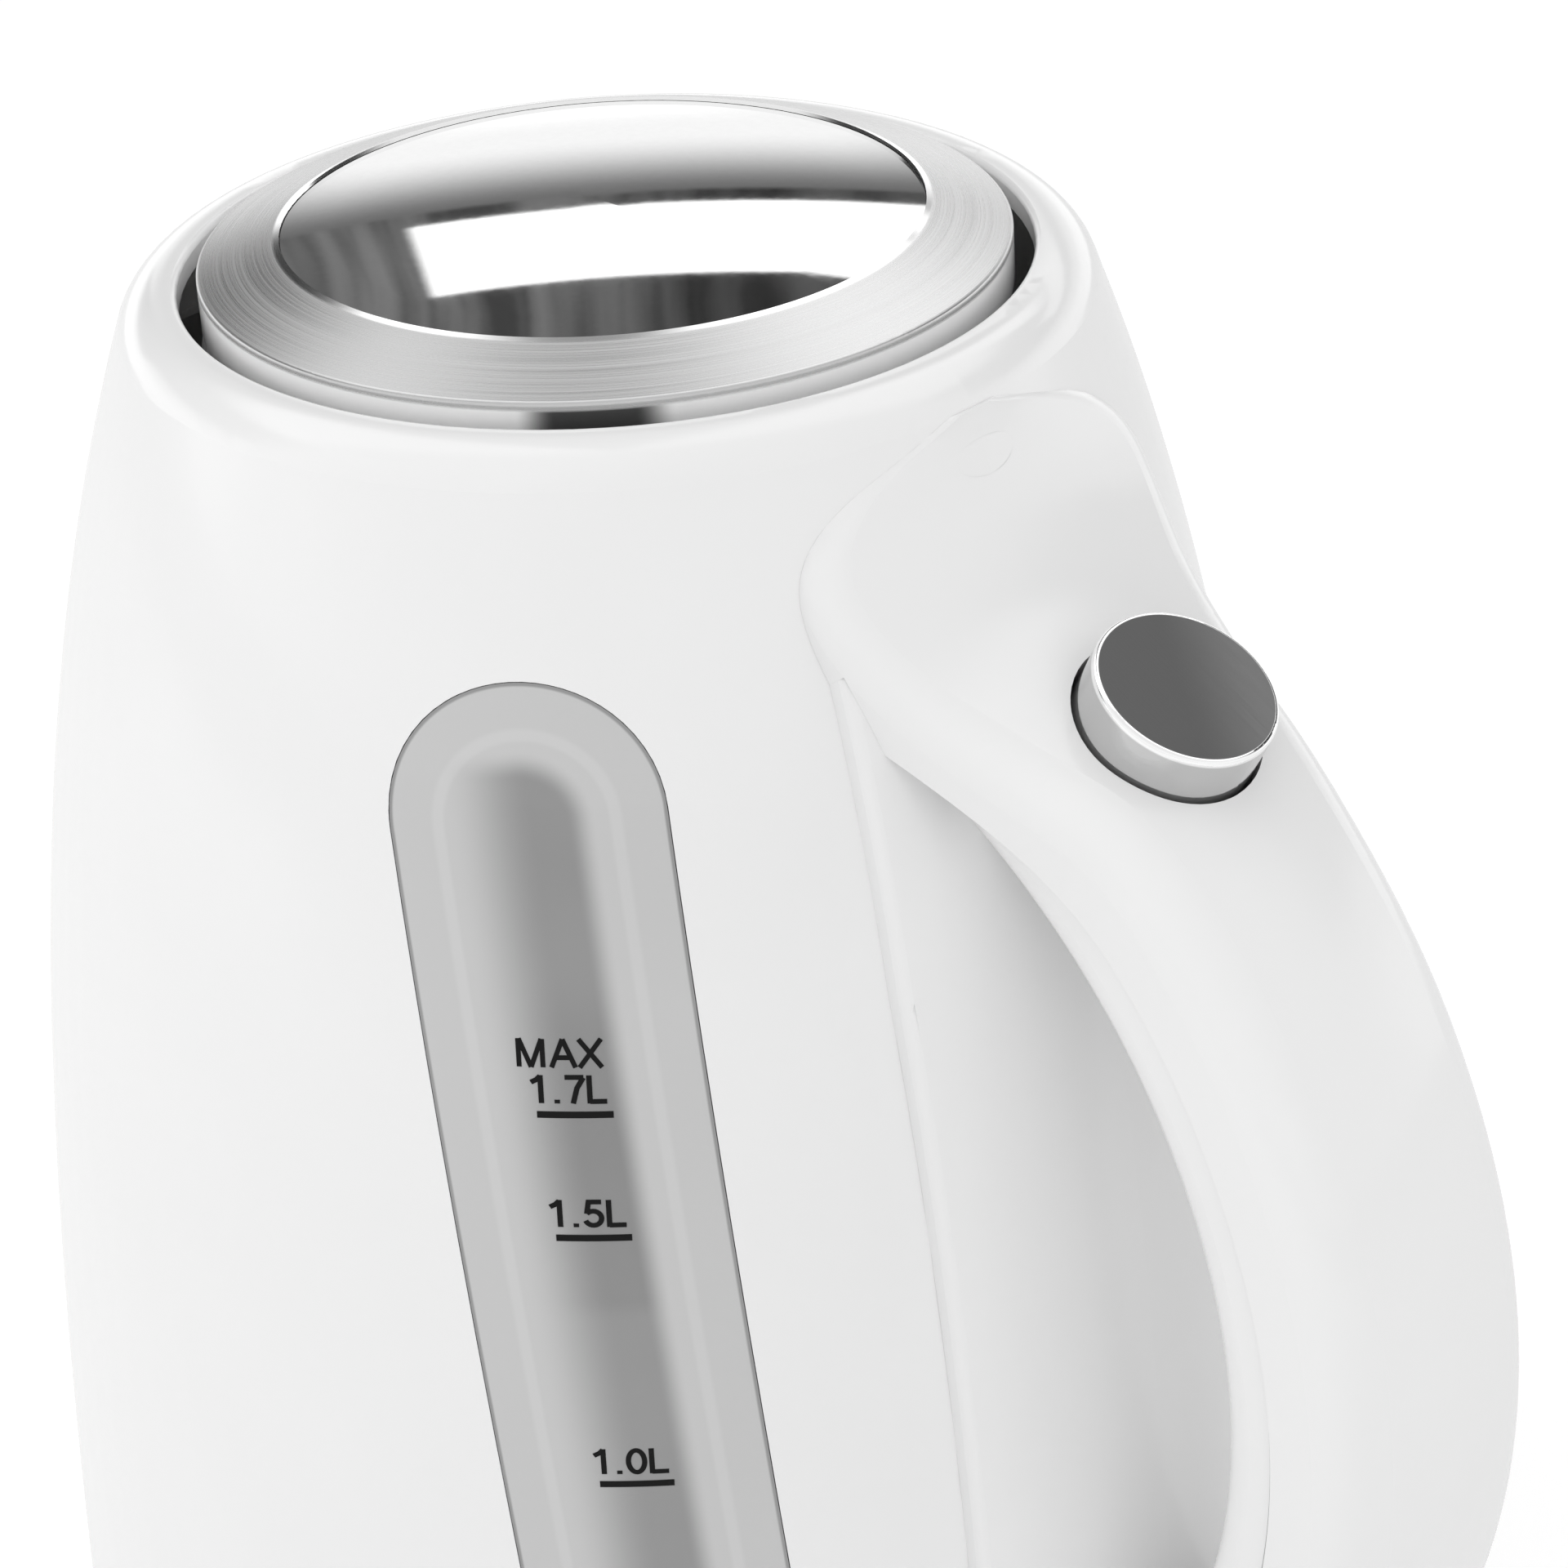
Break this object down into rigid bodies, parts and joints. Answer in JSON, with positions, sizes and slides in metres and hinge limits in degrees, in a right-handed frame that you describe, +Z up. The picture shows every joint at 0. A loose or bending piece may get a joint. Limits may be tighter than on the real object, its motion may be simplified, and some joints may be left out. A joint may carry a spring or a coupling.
{
  "type": "electric kettle",
  "caption": "Cordless electric kettle: tapered white jug with a level window, bow handle, sprung lid release, hinged steel lid, pouring beak and round power base.",
  "frame": {"origin": "on the table under the centre of the power base, on the jug's axis", "axes": "+Z up along the jug's axis, +X towards the handle, -X towards the pouring beak"},
  "size_m": [0.1998, 0.1596, 0.2182],
  "materials": {
    "white_gloss": "white gloss moulding",
    "grey_window": "clear smoke grey moulding",
    "grey_plastic": "light grey moulding",
    "black_plastic": "black moulding",
    "seal_rubber": "moulded silicone",
    "brushed_steel": "circular brushing",
    "mirror_steel": "polished",
    "dark_steel": "brushed top, polished wall",
    "spring_steel": "bright drawn steel",
    "bare_aluminium": "bare",
    "contact_brass": "bare"
  },
  "bodies": {
    "power_base": {"base_housing": "white_gloss", "base_bottom": "grey_plastic", "base_feet": "seal_rubber", "base_connector": "black_plastic", "base_contacts": "contact_brass", "base_screws": "spring_steel", "cord_gland": "black_plastic"},
    "jug": {"jug_body": "white_gloss", "handle_spine": "white_gloss", "handle_shell": "white_gloss", "handle_grip": "white_gloss", "window_lens": "grey_window", "window_seal": "seal_rubber", "spout_filter": "grey_plastic", "button_guide": "grey_plastic", "button_spring": "spring_steel", "latch_pin": "spring_steel", "hinge_carrier": "grey_plastic", "hinge_pin": "spring_steel", "lid_spring": "spring_steel", "heater_plate": "brushed_steel", "plate_seal": "seal_rubber", "heat_spreader": "bare_aluminium", "heating_element": "bare_aluminium", "element_terminals": "spring_steel", "control_block": "black_plastic", "bimetal_disc": "brushed_steel", "socket_ring": "black_plastic", "socket_contacts": "contact_brass", "steam_tube": "grey_plastic", "bottom_cover": "grey_plastic", "cover_screws": "spring_steel", "switch_pin": "spring_steel"},
    "lid": {"lid_ring": "brushed_steel", "lid_disc": "mirror_steel", "lid_frame": "grey_plastic", "lid_underplate": "brushed_steel"},
    "release_button": {"button_cap": "dark_steel", "button_stem": "grey_plastic"},
    "latch": {"latch_lever": "grey_plastic"},
    "switch": {"switch_paddle": "grey_window"}
  },
  "joints": [
    {"name": "lift_off", "type": "slide", "parent": "power_base", "child": "jug", "axis": [0, 0, 1], "range_m": [0, 0.06]},
    {"name": "lid_hinge", "type": "hinge", "parent": "jug", "child": "lid", "pos_m": [0.038, 0, 0.212], "axis": [0, 1, 0], "range_deg": [0, 72]},
    {"name": "button_press", "type": "slide", "parent": "jug", "child": "release_button", "axis": [-0.4695, 0, -0.8829], "range_m": [0, 0.0028], "stiffness_N_per_m": 400, "springref_m": -0.002, "deforming": ["button_spring"]},
    {"name": "latch_swing", "type": "hinge", "parent": "jug", "child": "latch", "pos_m": [0.0552, 0, 0.1896], "axis": [0, 1, 0], "range_deg": [0, 6.2]},
    {"name": "switch_rock", "type": "hinge", "parent": "jug", "child": "switch", "pos_m": [0.0635, 0, 0.0295], "axis": [0, 1, 0], "range_deg": [0, 9]}
  ],
  "couplings": [
    {"joint": "latch_swing", "follows": "button_press", "rad_per_m": 37.1}
  ]
}
